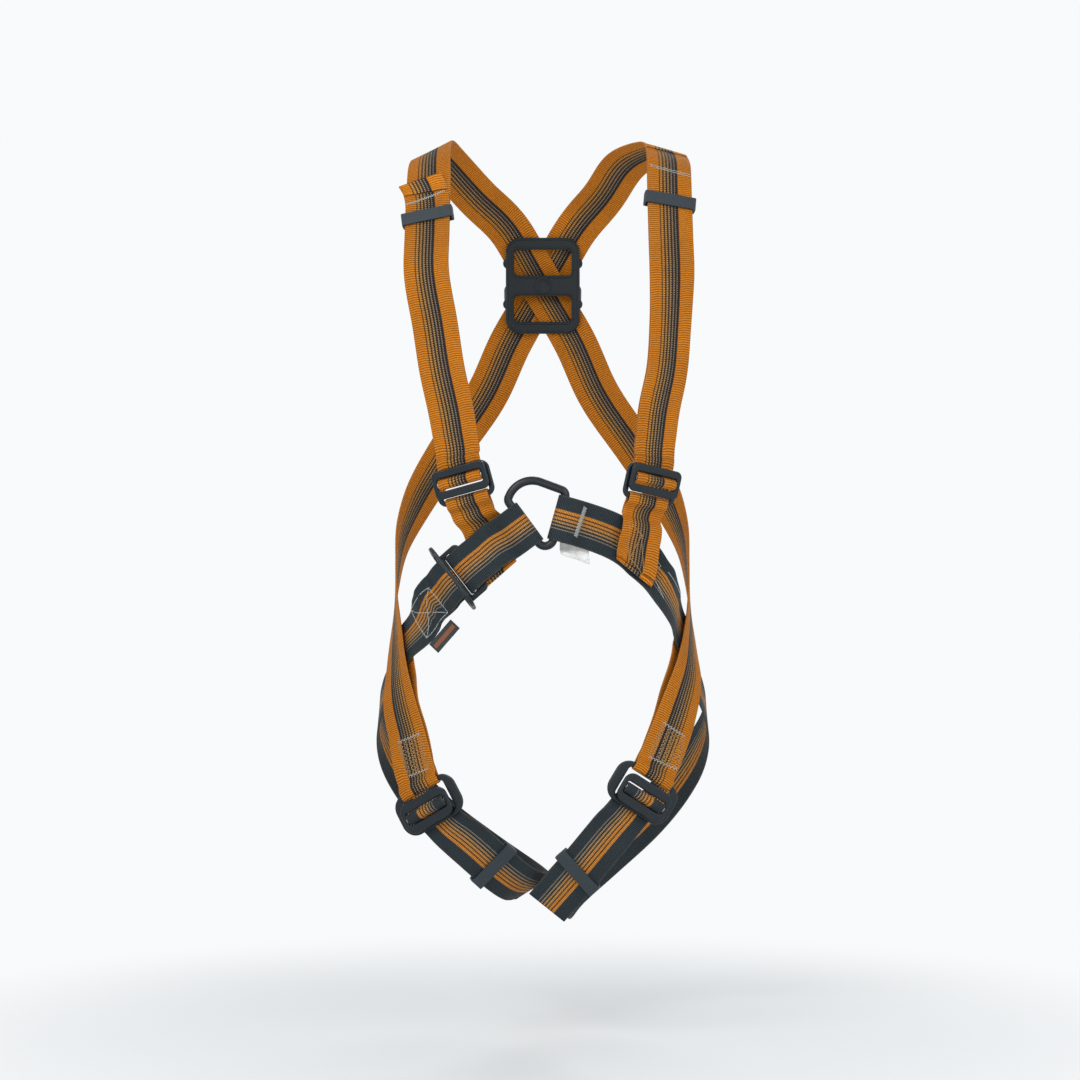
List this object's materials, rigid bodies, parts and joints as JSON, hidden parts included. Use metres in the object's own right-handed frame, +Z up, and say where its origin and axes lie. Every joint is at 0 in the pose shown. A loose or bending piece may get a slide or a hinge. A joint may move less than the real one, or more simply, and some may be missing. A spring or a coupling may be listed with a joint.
{
  "type": "full body safety harness",
  "caption": "Full body fall arrest harness as worn: webbing shoulder, waist and thigh straps with pass-through buckles, a front attachment ring and a dorsal attachment ring.",
  "frame": {"origin": "middle of the wearer's trunk at waist level", "axes": "+Z up towards the wearer's shoulders, -Y the wearer's front, +X the wearer's left"},
  "size_m": [0.3474, 0.321, 0.8107],
  "materials": {
    "orange_webbing": "woven polyester webbing, orange with dark lines",
    "slate_webbing": "woven polyester webbing, slate with orange lines",
    "coated_steel": "satin dark coating on steel",
    "bare_steel": "bright round bar",
    "keeper_plastic": "moulded slate plastic",
    "plate_plastic": "moulded black plastic",
    "label_cloth": "thin white label cloth",
    "tab_cloth": "woven black tab"
  },
  "bodies": {
    "webbing": {"back_strap_left": "orange_webbing", "back_strap_right": "orange_webbing", "care_label": "label_cloth", "chest_frame_left": "coated_steel", "chest_frame_right": "coated_steel", "dorsal_plate": "plate_plastic", "front_strap_left": "orange_webbing", "front_strap_right": "orange_webbing", "leg_frame_left": "coated_steel", "leg_frame_right": "coated_steel", "leg_strap_left": "slate_webbing", "leg_strap_right": "slate_webbing", "link_strap_left": "orange_webbing", "link_strap_right": "orange_webbing", "shoulder_strap_left": "orange_webbing", "shoulder_strap_right": "orange_webbing", "side_tab": "tab_cloth", "thigh_strap_left": "orange_webbing", "thigh_strap_right": "orange_webbing", "waist_belt_hip_side": "slate_webbing", "waist_belt_left": "slate_webbing", "waist_belt_ring_side": "slate_webbing", "waist_roller": "bare_steel", "waist_slide": "coated_steel"},
    "chest_slide_unit_right": {"chest_slide_right": "coated_steel", "chest_roller_right": "bare_steel"},
    "leg_slide_unit_right": {"leg_slide_right": "coated_steel", "leg_roller_right": "bare_steel"},
    "chest_slide_unit_left": {"chest_slide_left": "coated_steel", "chest_roller_left": "bare_steel"},
    "leg_slide_unit_left": {"leg_slide_left": "coated_steel", "leg_roller_left": "bare_steel"},
    "waist_frame_body": {"waist_frame": "coated_steel"},
    "front_ring_body": {"front_ring": "coated_steel"},
    "dorsal_ring_body": {"dorsal_ring": "coated_steel"},
    "shoulder_right_keeper_body": {"shoulder_right_keeper": "keeper_plastic"},
    "shoulder_left_keeper_body": {"shoulder_left_keeper": "keeper_plastic"},
    "leg_right_keeper_body": {"leg_right_keeper": "keeper_plastic"},
    "leg_left_keeper_body": {"leg_left_keeper": "keeper_plastic"}
  },
  "joints": [
    {"name": "chest_slide_tilt_right", "type": "hinge", "parent": "webbing", "child": "chest_slide_unit_right", "pos_m": [-0.08301, -0.11397, 0.05999], "axis": [0.9247, -0.2873, 0.2496], "range_deg": [0, 7]},
    {"name": "leg_slide_tilt_right", "type": "hinge", "parent": "webbing", "child": "leg_slide_unit_right", "pos_m": [-0.11706, -0.10536, -0.27155], "axis": [-0.7937, 0.368, -0.4843], "range_deg": [0, 6]},
    {"name": "chest_slide_tilt_left", "type": "hinge", "parent": "webbing", "child": "chest_slide_unit_left", "pos_m": [0.11296, -0.10191, 0.05915], "axis": [0.8566, 0.4811, -0.1863], "range_deg": [0, 7]},
    {"name": "leg_slide_tilt_left", "type": "hinge", "parent": "webbing", "child": "leg_slide_unit_left", "pos_m": [0.10148, -0.11185, -0.25847], "axis": [-0.7992, -0.2843, 0.5296], "range_deg": [0, 6]},
    {"name": "waist_frame_fold", "type": "hinge", "parent": "webbing", "child": "waist_frame_body", "pos_m": [-0.09125, -0.10823, -0.04012], "axis": [0.5955, -0.2449, -0.7651], "range_deg": [-60, 66]},
    {"name": "front_ring_tip", "type": "hinge", "parent": "webbing", "child": "front_ring_body", "pos_m": [0, -0.11745, 0.025], "axis": [1, 0, 0], "range_deg": [-4, 4]},
    {"name": "dorsal_ring_swing", "type": "hinge", "parent": "webbing", "child": "dorsal_ring_body", "pos_m": [0, 0.12183, 0.27498], "axis": [1, 0, 0], "range_deg": [0, 84]},
    {"name": "shoulder_right_keeper_travel", "type": "slide", "parent": "webbing", "child": "shoulder_right_keeper_body", "axis": [0.0105, 0.3913, 0.9202], "range_m": [-0.005, 0.005]},
    {"name": "shoulder_left_keeper_travel", "type": "slide", "parent": "webbing", "child": "shoulder_left_keeper_body", "axis": [-0.009, 0.3831, 0.9237], "range_m": [-0.007, 0.003]},
    {"name": "leg_right_keeper_travel", "type": "slide", "parent": "webbing", "child": "leg_right_keeper_body", "axis": [-0.7024, -0.3561, 0.6163], "range_m": [-0.003, 0.003]},
    {"name": "leg_left_keeper_travel", "type": "slide", "parent": "webbing", "child": "leg_left_keeper_body", "axis": [0.6513, -0.2181, 0.7268], "range_m": [-0.0015, 0.0015]}
  ]
}
